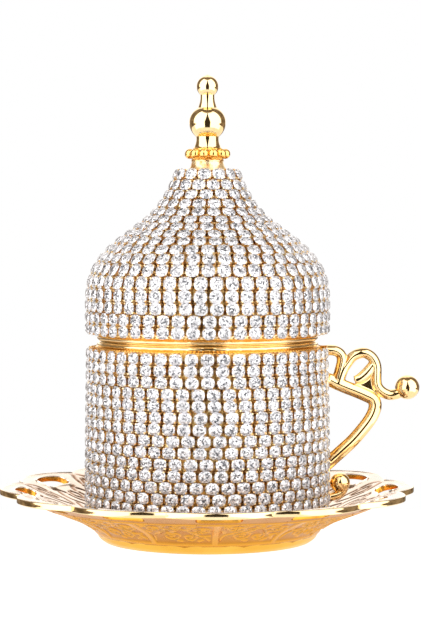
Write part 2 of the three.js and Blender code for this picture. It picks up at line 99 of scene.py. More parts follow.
# Stones and their settings
STONE_PITCH = 4.05
STONE_R = 1.52
STONE_STRETCH = 1.1
STONE_MOST_TALL = 1.18
ROW_FILL = 1.02
SQUARENESS = 3.0
STONE_CROWN_H = 0.56
STONE_TABLE_R = 0.82
STONE_GIRDLE_H = 0.16
STONE_TILT = 4
SETTING_BASE_R = 0.9
SETTING_WALL_H = 1.55
PRONG_W = 0.5
PRONG_DEG = 39
LINK_W = 0.62
FACET_MM = 0.38
FACET_TILT = 0.5
# Solid rows: fewest sides of a closed one, and distances that tell their corners apart
LEAST_SIDES = 30
SAME_CORNER = 0.3
CROWN_REACH = 1
# Where a row's first stone lies, from the side that faces the camera, in shares of the pitch
CUP_ROW_STARTS = (0, -0.06, 0.03, 0.4, 0.44, 0.57, 0.5, 0.78, 0.52, 0.94, 0.86, 0.3, 0.72, 0.44, 0.44)
LID_ROW_STARTS = (0.1, 0.14, 0.6, 0.55, 0.58, 0.05, 0.1, 0.02, 0.5, 0.46, 0.95, 0.9, 0.4, 0.45, 0.92, 0.4,
                  0.8)

# Saucer
LOBES = 12
LOBE_DEPTH = 3.7
PIERCING_MIDDLE_R = 47.8
PIERCING_BEND = 1
PIERCING_H = 5.2
PIERCING_HALF_DEG = 7.1
COLUMN_DEG = 0.4
SHADE = "shade"
EDGE_ROUND = 0.2
WELL_R = 27.1
FOOT_R = 27.2
FOOT_INNER_R = 22.2
RECESS_Z = 0.8
UNDERSIDE = [(27.2, 0), (28.5, 1), (29.5, 2.75), (32.3, 4.9), (35.9, 6.75), (43.8, 9.8), (49.2, 11.95),
             (55.4, 12.5)]
UPPER_FACE = [(27.1, 2.2), (28.1, 3.5), (31.7, 6.05), (35.4, 7.95), (43.3, 11), (48.7, 13.15), (55.4, 13.85)]
UPPER_STEPS = 70
UNDER_STEPS = 96
BORDER_STEPS = 26
FOOT_BAND_STEPS = 11
VINE_FROM_R = 29.9
VINE_TO_R = 43.2
CUT_W = 0.42
CUT_DEPTH = 0.42
PANEL_HALF_W = 9.4
PANEL_H = 15
RIB_HALF_W = 0.65
RIB_SLOPE = 0.3
RIB_MARGIN = 0.5
BORDER_OUT = 0.4
BORDER_W = 0.35
BORDER_RISE = 0.36
VINE_W = 0.3
VINE_RISE = 0.38
LEAF_MARK_W = 0.5
LEAF_MARK_RISE = 0.36
RELIEF_FROM_R = 29.1
RELIEF_CLEAR = 0.8
CUT_CLEAR = 1.2
FOOT_SHADE = 0.2
# Beads along the edges: rise, distance of their middle from the edge, and width
PIERCING_BEAD = (0.32, 0.5, 0.4)
RIM_BEAD = (0.36, 0.45, 0.34)

# Holder, lid and porcelain cup
BEAD_R = 0.625
BEAD_IN = 1.575
BEAD_OFF_SEAM = 0.16
LID_BEAD_MOST_R = 28.275
HOLDER_FOOT_R = 26.5
HOLDER_TAPER = 0.55
HOLDER_BAND_H = 1.75
DOME = [(29.5, 55.75), (29.55, 61.5), (29.1, 67.4), (27.1, 71.9), (22.9, 76.4), (17.9, 80.2), (12.9, 84.4),
        (9.1, 89.6), (6.6, 95.0)]
NECK = [(6.6, 95), (5.2, 96.8), (4.5, 97.8), (4.2, 98.7), (4.15, 99.1)]
LID_WALL_T = 1.3
LID_BORE_R = 27.25
CUP_WALL_T = 2.2
GRAINS = 170
GRAIN_SPREAD = 0.45

# Handle: distances from the holder's shell and heights above its rim
ROD_W = 2.8
ROD_T = 2.9
BAR_W = 3.5
LEAF_W = 3.1
LEAF_T = 2.3
TAIL_W = 2.3
TAIL_T = 2.4
ROD_POWER = 1.7
ROD_SIDES = 24
ROD_STEPS = 5
BALL_STEPS = 48
WEB = [(8.6, -10.6), (13.6, -8.6), (14.6, -15.2), (12.4, -14.6)]
WEB_T = 0.7
UPPER_ARM = [(-0.2, -3.0), (2.2, -2.8), (3.9, -3.0), (5.2, -3.9), (5.6, -5.4), (5.2, -7.4), (4.4, -10.4)]
SCROLL = [(4.7, -11.5), (5.8, -8.2), (6.9, -6.4), (8.3, -4.65), (10, -3.75), (11.7, -3.6), (13.3, -4.5),
          (14.3, -5.95), (14.7, -7.7), (14.7, -11), (15.2, -12.7), (16.4, -13.9), (18, -14.6), (19.7, -14.5),
          (21.2, -13.85), (22.5, -12.65)]
LEAF = [(14.2, -5.9), (13.1, -7.7), (11.9, -9.15), (10.4, -10.35), (9, -10.8)]
BAR = [(0.8, -10.2), (2.5, -10.65), (4.1, -11.45), (6.8, -12.6), (9.5, -13.65), (11.9, -14.7), (13.7, -15.65),
       (14.4, -17.1), (14.1, -18.95), (13.1, -21), (11.5, -23.2), (8.8, -26.35), (5.6, -29.35), (2.2, -32.4),
       (0.6, -33.8)]
TAIL = [(0.6, -41.9), (3.2, -41.5), (5.1, -40.7), (6.1, -39.5), (5.2, -38.3)]
SCROLL_BALL = (22.9, -12.65)
SCROLL_BALL_R = 3.19
TAIL_BALL = (5.15, -37.8)
TAIL_BALL_R = 2.65
ROOT_CLEAR = 0.1
STRIP_OUT = 2.25
STRIP_HALF_W = 1.7
STRIP_UP = 4.2
STRIP_DOWN = 6.2
CELL = 0.15
SOFTENINGS = 3
SHANK_R = 0.7
SOCKET_R = 0.62
THREAD_PITCH = 0.18
THREAD_DEPTH = 0.09

# Finial
BIG_BALL_Z = 109.3
BIG_BALL_R = 4.8
BIG_BALL_SQUASH = 0.91
SMALL_BALL_Z = 118.6
SMALL_BALL_R = 2.85
STUD_R = 1.25
STUD_HOLE_R = 1.55
COLLAR_BEADS = 12
COLLAR_BEAD_R = 1.3
COLLAR_RING_R = 4.75
COLLAR_RING_UP = 1.45

ROUND = 192


def box_mm(node):
    low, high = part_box(node)
    return low / MM, high / MM


def node_points(node):
    return np.array([v.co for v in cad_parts[node].data.vertices]) / MM


# Materials


def new_material(name):
    material = bpy.data.materials.new(name)
    material.use_nodes = True
    tree = material.node_tree
    shader = tree.nodes["Principled BSDF"]
    return material, tree, shader


def feed(tree, node, inputs):
    """Gives a node's inputs another node's output, or a value that is the same all over."""
    for name, value in inputs.items():
        if isinstance(value, bpy.types.NodeSocket):
            tree.links.new(value, node.inputs[name])
        else:
            node.inputs[name].default_value = value


def new_node(tree, kind, inputs):
    node = tree.nodes.new(f"ShaderNode{kind}")
    feed(tree, node, inputs)
    return node


def noise(tree, scale, detail=3.0):
    place = tree.nodes.new("ShaderNodeTexCoord").outputs["Object"]
    inputs = {"Vector": place, "Scale": scale, "Detail": detail, "Roughness": 0.55}
    return new_node(tree, "TexNoise", inputs).outputs["Fac"]


def ramp(tree, value, low, high, start=0.3, end=0.7):
    node = new_node(tree, "ValToRGB", {"Fac": value})
    for element, position, colour in zip(node.color_ramp.elements, (start, end), (low, high)):
        element.position = position
        element.color = (*colour, 1)
    return node.outputs["Color"]


def spread(tree, value, low, high):
    """A value from 0 to 1 as one from low to high."""
    return new_node(tree, "MapRange", {"Value": value, "To Min": low, "To Max": high}).outputs["Result"]


def maths(tree, operation, *values, clamp=False):
    node = tree.nodes.new("ShaderNodeMath")
    node.operation = operation
    node.use_clamp = clamp
    feed(tree, node, dict(enumerate(values)))
    return node.outputs["Value"]


def vector_maths(tree, operation, first, second=(0, 0, 0)):
    node = tree.nodes.new("ShaderNodeVectorMath")
    node.operation = operation
    feed(tree, node, {0: first, "Scale" if operation == "SCALE" else 1: second})
    return node.outputs["Vector"]


def bump(tree, value, strength, distance_mm):
    inputs = {"Strength": strength, "Distance": distance_mm * MM, "Height": value}
    return new_node(tree, "Bump", inputs).outputs["Normal"]


def stored_shade(tree):
    """The number that add_piece keeps for each point."""
    node = tree.nodes.new("ShaderNodeAttribute")
    node.attribute_name = SHADE
    return node.outputs["Fac"]


def gold_material(name, pale, deep, smooth, rough, grain, grain_mm, patch_mm=16, blend=0.2, metallic=1.0):
    """Gold in patches of two colours, with roughness from smooth to rough and a fine uneven surface."""
    material, tree, shader = new_material(name)
    patches = noise(tree, 1 / (patch_mm * MM))
    feed(tree, shader, {
        "Metallic": metallic,
        "Base Color": ramp(tree, patches, deep, pale, 0.5 - blend, 0.5 + blend),
        "Roughness": spread(tree, noise(tree, 220), smooth, rough),
        "Normal": bump(tree, noise(tree, 1 / (grain_mm * MM), 2), grain, 0.02)})
    return material


def saucer_material(name, pale, deep, ground, smooth, rough, grain):
    """Plated casting with painted shade: its low places are painted deeper in colour and its raised places
    paler, over random patches.
    """
    material, tree, shader = new_material(name)
    # Painted shade: the stored relief height makes low places darker and raised places paler; random patches
    # are added
    raised = maths(tree, "MULTIPLY_ADD", stored_shade(tree), 2, ground)
    patches_and_painted_shade = maths(tree, "MULTIPLY_ADD", noise(tree, 90, 5), 0.5, raised)
    feed(tree, shader, {
        "Metallic": 1,
        "Base Color": ramp(tree, patches_and_painted_shade, deep, pale, 0.1, 0.9),
        "Roughness": spread(tree, noise(tree, 300), smooth, rough),
        "Normal": bump(tree, noise(tree, 2200, 3), grain, 0.05)})
    return material


def stone_material():
    """Foiled glass. Small cells stand for the facets seen inside it, each with its own lean and a painted
    reflection from dark to light. Each stone is also painted darker towards its middle, which is a painted
    reflection too.
    """
    material, tree, shader = new_material("brilliant")
    place = tree.nodes.new("ShaderNodeTexCoord").outputs["Object"]
    cells = new_node(tree, "TexVoronoi", {"Vector": place, "Scale": 1 / (FACET_MM * MM)}).outputs["Color"]
    lean = vector_maths(tree, "SUBTRACT", cells, (0.5, 0.5, 0.5))
    surface = tree.nodes.new("ShaderNodeNewGeometry").outputs["Normal"]
    turned_away = vector_maths(tree, "ADD", surface, vector_maths(tree, "SCALE", lean, FACET_TILT))
    # Painted reflection: each cell's tone and the distance from the stone's middle set how dark or light the
    # glass is painted
    painted_facet_reflection = new_node(tree, "SeparateColor", {"Color": cells}).outputs["Red"]
    tone = maths(tree, "MULTIPLY_ADD", stored_shade(tree), 0.4, painted_facet_reflection)
    feed(tree, shader, {
        "Metallic": 0.45,
        "Base Color": ramp(tree, tone, (0.08, 0.085, 0.10), (0.76, 0.76, 0.79), 0.3, 0.85),
        "Roughness": spread(tree, noise(tree, 900, 2), 0.03, 0.09),
        "Normal": vector_maths(tree, "NORMALIZE", turned_away),
        "Coat Weight": 0.3,
        "Coat Roughness": 0.03})
    return material


def porcelain_material():
    material, tree, shader = new_material("porcelain_glaze")
    feed(tree, shader, {
        "Base Color": ramp(tree, noise(tree, 40), (0.62, 0.61, 0.59), (0.70, 0.69, 0.67)),
        "Roughness": spread(tree, noise(tree, 150), 0.08, 0.16),
        "Normal": bump(tree, noise(tree, 250, 2), 0.15, 0.02),
        "Coat Weight": 0.6,
        "Coat Roughness": 0.05})
    return material


def steel_material():
    material, tree, shader = new_material("steel")
    feed(tree, shader, {
        "Metallic": 1,
        "Base Color": ramp(tree, noise(tree, 500), (0.5, 0.51, 0.53), (0.68, 0.69, 0.71)),
        "Roughness": spread(tree, noise(tree, 900), 0.25, 0.4)})
    return material


GOLD = gold_material("gold_polished", (1.0, 0.81, 0.48), (0.95, 0.71, 0.36), 0.05, 0.12, 0.12, 0.5)
GOLD_CAST = gold_material("gold_cast", (1.0, 0.67, 0.24), (0.93, 0.56, 0.15), 0.08, 0.20, 0.4, 0.3)
GOLD_SATIN = gold_material("gold_satin", (0.96, 0.78, 0.47), (0.88, 0.60, 0.29), 0.2, 0.28, 0.2, 0.5)
GOLD_ROD = gold_material("gold_rod", (1.0, 0.77, 0.41), (0.97, 0.68, 0.30), 0.06, 0.12, 0.1, 0.5)
GOLD_SETTING = gold_material("gold_setting", (1.0, 0.82, 0.48), (0.72, 0.40, 0.14), 0.14, 0.3, 0.3, 0.2,
                             patch_mm=1.6, blend=0.08, metallic=0.6)
# Gold of the walls seen between the stones, in small patches from yellow to dark brown; the dark brown is
# painted shade between the stones
GOLD_WALL_PAINTED_SHADE = gold_material("gold_wall_painted_shade", (1.0, 0.70, 0.25), (0.34, 0.17, 0.06), 0.2, 0.4, 0.3, 0.4,
                          patch_mm=2, blend=0.06, metallic=0.55)
STONE = stone_material()
PORCELAIN = porcelain_material()
STEEL = steel_material()
# Saucer top: its deep colour is the painted shade of the relief's low places
SAUCER_TOP = saucer_material("gold_saucer_top", (0.98, 0.87, 0.75), (0.40, 0.22, 0.12), 0.38, 0.12, 0.28, 0.3)
# Underside: a darker, more orange copy of the saucer's gold, painted shade of the underside; its relief's low
# places are painted darker still
SAUCER_UNDER_PAINTED_SHADE = saucer_material("gold_saucer_under_painted_shade", (0.87, 0.44, 0.06), (0.46, 0.17, 0.02), 0.2, 0.2, 0.32,
                               0.5)
# Foot band: deeper, more orange gold than the top, painted shade of the underside
GOLD_FOOT_PAINTED_SHADE = gold_material("gold_saucer_foot_painted_shade", (1.0, 0.66, 0.13), (0.95, 0.54, 0.08), 0.18, 0.28, 0.3, 0.4)

# Meshes


def add_piece(name, shape, material, body, nodes=(), smooth=None, kinds=None, shade=None, weld=False):
    """A piece from a shape, which is millimetre points and faces.

    smooth is the angle in degrees up to which edges are shaded smooth. With kinds, material is a list and
    kinds has each face's place in it. shade is a number for each point that the material colours it by.
    With weld, points that meet become one.
    """
    points, faces = shape
    mesh = bpy.data.meshes.new(name)
    mesh.from_pydata((np.asarray(points, float) * MM).tolist(), [], faces)
    if kinds is None:
        mesh.materials.append(material)
    else:
        for each in material:
            mesh.materials.append(each)
        mesh.polygons.foreach_set("material_index", kinds)
    if shade is not None:
        mesh.attributes.new(SHADE, "FLOAT", "POINT").data.foreach_set("value", shade)
    if weld:
        work = bmesh.new()
        work.from_mesh(mesh)
        bmesh.ops.remove_doubles(work, verts=work.verts, dist=0.004 * MM)
        work.to_mesh(mesh)
        work.free()
    mesh.validate()
    if smooth is not None:
        mesh.shade_smooth()
        mesh.set_sharp_from_angle(angle=math.radians(smooth))
    piece = bpy.data.objects.new(name, mesh)
    bpy.context.scene.collection.objects.link(piece)
    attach(piece, body)
    if nodes:
        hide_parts(*nodes)


def join(parts):
    """Several (points, faces) as one."""
    points, faces, count = [], [], 0
    for part_points, part_faces in parts:
        part_points = np.asarray(part_points, float)
        points.append(part_points)
        faces.extend([tuple(i + count for i in face) for face in part_faces])
        count += len(part_points)
    return np.vstack(points), faces


def turned(profile, steps=ROUND, closed=False, ripple=None):
    """Revolves (radius, height) points round Z. A closed profile makes a ring. An open one starts and ends
    on the axis.
    """
    angles = np.arange(steps) * TAU / steps
    points, rings, faces = [], [], []
    for r, z in profile:
        if r < 1e-6:
            rings.append([len(points)])
            points.append((0, 0, z))
            continue
        rings.append(list(range(len(points), len(points) + steps)))
        radii = r + (ripple(r, z, angles) if ripple else 0 * angles)
        points.extend(zip(radii * np.cos(angles), radii * np.sin(angles), np.full(steps, z)))
    pairs = list(zip(rings, rings[1:] + rings[:1] if closed else rings[1:]))
    for lower, upper in pairs:
        for i in range(steps):
            k = (i + 1) % steps
            if len(lower) == 1:
                faces.append((lower[0], upper[k], upper[i]))
            elif len(upper) == 1:
                faces.append((lower[i], lower[k], upper[0]))
            else:
                faces.append((lower[i], lower[k], upper[k], upper[i]))
    return np.array(points), faces


def hexagon(flat_r):
    """A ripple for turned that makes a hexagon of the points at one radius, where its flats are."""

    def ripple(r, z, angles):
        corners = 1 / np.cos((angles + TAU / 12) % (TAU / 6) - TAU / 12)
        return flat_r * (corners - 1) if r == flat_r else 0 * angles

    return ripple


def arc(centre_r, centre_z, radius, start_deg, end_deg, steps=10):
    """Points of a circle's arc in a profile. Angles are measured from straight out, upwards."""
    for i in range(steps + 1):
        angle = math.radians(start_deg + (end_deg - start_deg) * i / steps)
        yield centre_r + radius * math.cos(angle), centre_z + radius * math.sin(angle)


def smooth_line(points, steps):
    """A Catmull-Rom line through points, with as many steps between each two."""
    points = np.asarray(points, float)
    padded = np.vstack([2 * points[0] - points[1], points, 2 * points[-1] - points[-2]])
    line = []
    for i in range(len(points) - 1):
        a, b, c, d = padded[i:i + 4]
        for t in np.arange(steps) / steps:
            line.append(0.5 * (2 * b + (c - a) * t + (2 * a - 5 * b + 4 * c - d) * t ** 2
                               + (3 * b - a - 3 * c + d) * t ** 3))
    line.append(points[-1])
    return np.array(line)


def recalc(points, faces):
    """Turns the faces of a closed mesh outwards."""
    mesh = bpy.data.meshes.new("recalc")
    mesh.from_pydata(np.asarray(points, float).tolist(), [], faces)
    work = bmesh.new()
    work.from_mesh(mesh)
    bmesh.ops.remove_doubles(work, verts=work.verts, dist=1e-4)
    bmesh.ops.recalc_face_normals(work, faces=work.faces)
    work.verts.index_update()
    result = (np.array([v.co for v in work.verts]), [tuple(v.index for v in f.verts) for f in work.faces])
    work.free()
    bpy.data.meshes.remove(mesh)
    return result


# Stones


def stone_shape():
    """A brilliant with its girdle's middle at the origin and its table up."""
    points, faces = [], []

    def ring(radius, height, count, turn):
        start = len(points)
        for i in range(count):
            angle = (i + turn) * TAU / count
            across, along = math.cos(angle), math.sin(angle)
            r = radius / (abs(across) ** SQUARENESS + abs(along) ** SQUARENESS) ** (1 / SQUARENESS)
            points.append((r * across, r * along, height))
        return list(range(start, start + count))

    low = ring(STONE_R * 0.97, -STONE_GIRDLE_H, 16, 0)
    girdle = ring(STONE_R, 0, 16, 0)
    middle = ring(STONE_R * 0.80, STONE_CROWN_H * 0.56, 8, 0.5)
    table = ring(STONE_TABLE_R, STONE_CROWN_H, 8, 0)
    star = ring(STONE_TABLE_R * 0.55, STONE_CROWN_H + 0.01, 8, 0.5)
    centre = len(points)
    points.append((0, 0, STONE_CROWN_H - 0.05))
    foot = len(points)
    points.append((0, 0, -STONE_R * 0.62))
    for i in range(16):
        k = (i + 1) % 16
        faces.append((low[i], low[k], girdle[k], girdle[i]))
        faces.append((foot, low[k], low[i]))
    for i in range(8):
        k = (i + 1) % 8
        a, b, c = girdle[2 * i], girdle[2 * i + 1], girdle[(2 * i + 2) % 16]
        faces.append((middle[i], a, b))
        faces.append((middle[i], b, c))
        faces.append((table[i], middle[i - 1], a, middle[i]))
        faces.append((table[i], middle[i], table[k]))
        faces.append((table[i], table[k], star[i]))
        faces.append((centre, star[i - 1], table[i]))
        faces.append((centre, table[i], star[i]))
    return np.array(points) * np.array([STONE_STRETCH, 1, 1]), faces


def block(x0, x1, y0, y1, z0, z1):
    points = [(x, y, z) for x in (x0, x1) for y in (y0, y1) for z in (z0, z1)]
    faces = [(0, 1, 3, 2), (4, 6, 7, 5), (0, 4, 5, 1), (2, 3, 7, 6), (0, 2, 6, 4), (1, 5, 7, 3)]
    return np.array(points, float), faces


def setting_shape(pitch):
    """The cup under a stone, its four prongs and half of the link on each side. Same origin as the stone."""
    depth = SETTING_WALL_H
    cup = turned([(0, -depth), (SETTING_BASE_R, -depth), (STONE_R * 0.80, -0.5), (STONE_R * 0.90, -0.18),
                  (STONE_R * 0.76, -0.18), (0, -0.5)], 12)
    parts = [cup]
    prong, prong_faces = block(STONE_R * 1.02, STONE_R * 1.34, -PRONG_W / 2, PRONG_W / 2, -0.9, 0.12)
    tip = prong[:, 2] > 0
    prong[tip, 0] -= STONE_R * 0.1
    prong[tip, 1] *= 0.7
    for degrees in (PRONG_DEG, 180 - PRONG_DEG, 180 + PRONG_DEG, -PRONG_DEG):
        angle = math.radians(degrees)
        along, across = math.cos(angle), math.sin(angle)
        turn = np.array([[along, across, 0], [-across, along, 0], [0, 0, 1]])
        parts.append((prong @ turn, prong_faces))
    parts.append(block(SETTING_BASE_R * 0.8, pitch / 2, -LINK_W / 2, LINK_W / 2, -depth, -depth + 0.35))
    parts.append(block(-pitch / 2, -SETTING_BASE_R * 0.8, -LINK_W / 2, LINK_W / 2, -depth, -depth + 0.35))
    return join(parts)


def row_of(node):
    """A row's crown and seat, each as (radius, height), and half the break in it at the handle."""
    points = node_points(node)
    flat = np.column_stack([np.hypot(points[:, 0], points[:, 1]), points[:, 2]])
    if node.startswith("cup"):
        height = (flat[:, 1].min() + flat[:, 1].max()) / 2
        front = points[:, 0] > 0
        nearest = np.abs(points[front, 1]).min()
        closed_half = math.pi * flat[:, 0].max() / LEAST_SIDES
        gap = nearest if nearest < closed_half else 0
        return np.array([flat[:, 0].max(), height]), np.array([flat[:, 0].min(), height]), gap
    apart = np.linalg.norm(flat[:, None] - flat[None], axis=2)
    first, second = np.unravel_index(np.where(apart > SAME_CORNER, apart, np.inf).argmin(), apart.shape)
    crown = (flat[first] + flat[second]) / 2
    seat = flat[np.linalg.norm(flat - crown, axis=1) > CROWN_REACH]
    return crown, (seat.min(0) + seat.max(0)) / 2, 0


def place_row(node, body, place, start, spacing, draws):
    """Stones and settings of a row. They are taller where the rows lie further apart."""
    crown, seat, gap = place
    tall = np.array([1, min(ROW_FILL * spacing / (2 * STONE_R), STONE_MOST_TALL), 1])
    out = (crown - seat) / np.linalg.norm(crown - seat)
    up = np.array([-out[1], out[0]])
    middle = crown - out * STONE_CROWN_H
    radius = crown[0]
    count = round(TAU * radius / STONE_PITCH)
    facing = -TAU / 4 - math.radians(CAMERA_AZIMUTH)
    angles = [facing + (i + start) * TAU / count for i in range(count)]
    if gap:
        angles = [a for a in angles if math.cos(a) < 0 or abs(math.sin(a)) * radius > gap + STONE_R * 0.9]
    stones, settings = [], []
    stone_points, stone_faces = STONE_SHAPE
    stone_points = stone_points * tall
    setting_points, setting_faces = setting_shape(TAU * middle[0] / count)
    setting_points = setting_points * tall
    for angle in angles:
        radial = np.array([math.cos(angle), math.sin(angle), 0])
        around = np.array([-math.sin(angle), math.cos(angle), 0])
        rise = up[0] * radial + np.array([0, 0, up[1]])
        normal = out[0] * radial + np.array([0, 0, out[1]])
        centre = middle[0] * radial + np.array([0, 0, middle[1]])
        axes = np.array([around, rise, normal])
        settings.append((setting_points @ axes + centre, setting_faces))
        lean = Matrix.Rotation(math.radians(draws.uniform(-STONE_TILT, STONE_TILT)), 3, "X")
        roll = Matrix.Rotation(math.radians(draws.uniform(-STONE_TILT, STONE_TILT)), 3, "Y")
        turn = np.array(lean @ roll).T
        stones.append((stone_points @ turn @ axes + centre, stone_faces))
    group, _, number = node.split("_")
    # Each point's distance from its stone's middle; the stone material paints the middle darker by it, a
    # painted reflection
    off_middle = np.tile(np.hypot(stone_points[:, 0], stone_points[:, 1]) / STONE_R, len(stones))
    add_piece(f"{group}_stones_{number}", join(stones), STONE, body, [node], shade=off_middle)
    add_piece(f"{group}_settings_{number}", join(settings), GOLD_SETTING, body, smooth=40)


def rows(group, body, starts, draws):
    nodes = sorted(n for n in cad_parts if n.startswith(f"{group}_strand"))
    places = [row_of(node) for node in nodes]
    crowns = np.array([crown for crown, _, _ in places])
    apart = np.linalg.norm(np.diff(crowns, axis=0), axis=1)
    spacings = (np.append(apart[0], apart) + np.append(apart, apart[-1])) / 2
    for node, place, start, spacing in zip(nodes, places, starts, spacings):
        place_row(node, body, place, start, spacing, draws)


STONE_SHAPE = stone_shape()
row_draws = random.Random(7)
rows("cup", "holder", CUP_ROW_STARTS, row_draws)
rows("lid", "lid", LID_ROW_STARTS, row_draws)

# Saucer


def bell(distance, width):
    """1 at no distance, falling away over the width."""
    return np.exp(-(distance / width) ** 2)


def line_distance(x, y, line):
    """Distance of each point to a line of points."""
    best = np.full(x.shape, 1e3)
    for (x0, y0), (x1, y1) in zip(line, line[1:]):
        dx, dy = x1 - x0, y1 - y0
        t = np.clip(((x - x0) * dx + (y - y0) * dy) / (dx * dx + dy * dy), 0, 1)
        best = np.minimum(best, np.hypot(x - x0 - t * dx, y - y0 - t * dy))
    return best


def curl(x, y, radius, start_deg, turns):
    """A spiral that winds inwards round a point."""
    t = np.linspace(0, 1, 22)
    angle = math.radians(start_deg) + turns * TAU * t
    wound = radius * (1 - 0.82 * t)
    return np.column_stack([x + wound * np.cos(angle), y + wound * np.sin(angle)])


def vine():
    """Stem, curls and leaves of one panel, across it and up from its lower edge."""
    stem = smooth_line([(-8.2, 1.2), (-6.9, 4.6), (-4.1, 7.4), (-1.4, 10.6), (1.4, 10.4), (3.2, 7),
                        (5.4, 4.2), (8.1, 4.4)], 4)
    curls = [curl(-5.2, 10.6, 2.7, 300, 1.5), curl(-2.6, 4.2, 2.9, 100, -1.6), curl(2.4, 3.4, 2.2, 60, -1.4),
             curl(5.7, 9.6, 3.0, 230, 1.6), curl(-7.2, 13.2, 1.3, 250, -1.2), curl(0.4, 13.2, 1.3, 200, 1.2)]
    leaves = [[(-7.4, 6.6), (-8.3, 8.3)], [(-4.6, 7), (-5.6, 5.6)], [(-0.4, 8.8), (-1.6, 7.4)],
              [(2, 9.6), (3.2, 11)], [(3, 12.8), (4.4, 13.6)], [(6.6, 3), (7.6, 1.6)],
              [(4.6, 4.8), (4, 6.2)], [(-3.2, 12.6), (-2.2, 13.8)], [(-0.2, 1.2), (-1.4, 1.4)],
              [(4.8, 1.2), (5.8, 1.7)]]
    return [stem, *curls], leaves


def lower_relief(r, degrees):
    """Height of the vine and its borders on the underside."""
    aside = degrees - np.sign(degrees) * 180 / LOBES
    x = aside / (180 / LOBES) * PANEL_HALF_W
    y = (r - VINE_FROM_R) / (VINE_TO_R - VINE_FROM_R) * PANEL_H
    lines, leaves = vine()
    raised = sum(LEAF_MARK_RISE * bell(line_distance(x, y, leaf), LEAF_MARK_W) for leaf in leaves)
    for line in lines:
        raised = np.maximum(raised, VINE_RISE * bell(line_distance(x, y, line), VINE_W))
    from_rib = PANEL_HALF_W - np.abs(x)
    inside = (y > 0) & (y < PANEL_H) & (from_rib > RIB_HALF_W + RIB_MARGIN)
    raised = np.where(inside, raised, 0)
    rib = np.clip((RIB_HALF_W - from_rib) / RIB_SLOPE + 1, 0, 1)
    raised = np.maximum(raised, BORDER_RISE * rib * ((y > -BORDER_OUT) & (y < PANEL_H + BORDER_OUT)))
    for past_border in (y + BORDER_OUT, y - PANEL_H - BORDER_OUT):
        raised = np.maximum(raised, BORDER_RISE * bell(past_border, BORDER_W))
    return raised


def upper_relief(r, degrees, from_piercing, from_rim):
    """Beads round the piercings and along the rim, and cut lines between them."""
    angle = np.radians(degrees)
    out, aside = r * np.cos(angle), np.abs(r * np.sin(angle))
    cusp_angle = math.pi / LOBES - np.abs(angle)
    cusp_out, cusp_aside = r * np.cos(cusp_angle), r * np.sin(cusp_angle)
    raised = sum(rise * bell(distance - middle, width) for distance, (rise, middle, width) in (
        (from_piercing, PIERCING_BEAD), (from_rim, RIM_BEAD)))
    lobe_lines = [smooth_line(line, 4) for line in (
        [(34.8, 0.7), (37.4, 2.5), (40.2, 2.7)], [(34.4, 3.8), (37.2, 5.4), (40.2, 5.6), (42.4, 4.6)],
        [(37.6, 0.4), (39.4, 1.2), (41.6, 0.5)], [(41.4, 2.6), (43.2, 3.6), (43.6, 5.2)])]
    cusp_lines = [smooth_line(line, 4) for line in (
        [(36.6, 0.6), (39.6, 2.1), (43.2, 2.5)], [(40.8, 0.4), (43.6, 1.1), (46.2, 0.4)],
        [(44.4, 2.4), (46.8, 2.1), (49, 0.8)], [(32.6, 0.6), (34.6, 1.7), (36.2, 3.4)])]
    cut = sum(bell(line_distance(out, aside, line), CUT_W) for line in lobe_lines)
    cut = cut + sum(bell(line_distance(cusp_out, cusp_aside, line), CUT_W) for line in cusp_lines)
    away = np.clip(from_piercing / CUT_CLEAR, 0, 1) * np.clip(from_rim / CUT_CLEAR, 0, 1)
    return raised - CUT_DEPTH * np.clip(cut, 0, 1) * away


def lobe_columns():
    """Angles across one lobe in degrees, closer together at the ends of its piercing."""
    half = 180 / LOBES
    even = [a for a in np.arange(-half, half - 0.01, COLUMN_DEG) if abs(abs(a) - PIERCING_HALF_DEG) > 0.6]
    ends = [side * (PIERCING_HALF_DEG - inward) for side in (-1, 1) for inward in (0, 0.05, 0.2, 0.5)]
    return np.array(sorted(even + ends))


def all_lobes(rows, row_kinds, angles, wall_row, no_hole):
    """Points, faces, kinds and reliefs of all lobes from one lobe's rows of (radius, height, relief).

    Each kind is for the faces between a row and the next. Those of the piercing's wall are left out where
    there is no hole.
    """
    around = np.concatenate([angles + i * TAU / LOBES for i in range(LOBES)])
    no_hole = np.tile(no_hole, LOBES)
    columns = len(around)
    points, faces, kinds, reliefs = [], [], [], []
    for r, z, relief in rows:
        radii, heights = np.tile(r, LOBES), np.tile(z, LOBES)
        points.extend(zip(radii * np.cos(around), radii * np.sin(around), heights))
        reliefs.extend(np.tile(relief, LOBES))
    for i, kind in enumerate(row_kinds):
        start, below = i * columns, (i + 1) % len(rows) * columns
        for j in range(columns):
            k = (j + 1) % columns
            if i == wall_row and no_hole[j] and no_hole[k]:
                continue
            faces.append((start + j, below + j, below + k, start + k))
            kinds.append(kind)
    return points, faces, kinds, reliefs


def lobe_outline(degrees):
    """Radii of the rim, the piercing's inner edge and its outer edge, and how much those two are rounded."""
    peak_r = box_mm("saucer")[1][0]
    cusp_r = peak_r - LOBE_DEPTH
    half_lobe = math.pi / LOBES
    chord, rise = cusp_r * math.sin(half_lobe), peak_r - cusp_r * math.cos(half_lobe)
    lobe_r = (chord ** 2 + rise ** 2) / (2 * rise)
    centre_r = peak_r - lobe_r
    angle = np.radians(degrees)
    rim = centre_r * np.cos(angle) + np.sqrt(lobe_r ** 2 - (centre_r * np.sin(angle)) ** 2)
    share = np.abs(degrees) / PIERCING_HALF_DEG
    middle = PIERCING_MIDDLE_R - PIERCING_BEND * share ** 2
    opening = PIERCING_H / 2 * (1 - np.clip(share, 0, 1) ** 3) ** (1 / 3)
    return rim, middle - opening, middle + opening, EDGE_ROUND * np.clip((1 - share) * 5, 0, 1)


def edge(r, face, radius, side, outward):
    """Quarter round at an edge, from the face to the wall."""
    height, relief = face
    for step in range(1, 5):
        turn = step * math.pi / 8
        back, down = radius * (1 - math.sin(turn)), radius * (1 - math.cos(turn))
        yield r - outward * back, height - side * down, relief


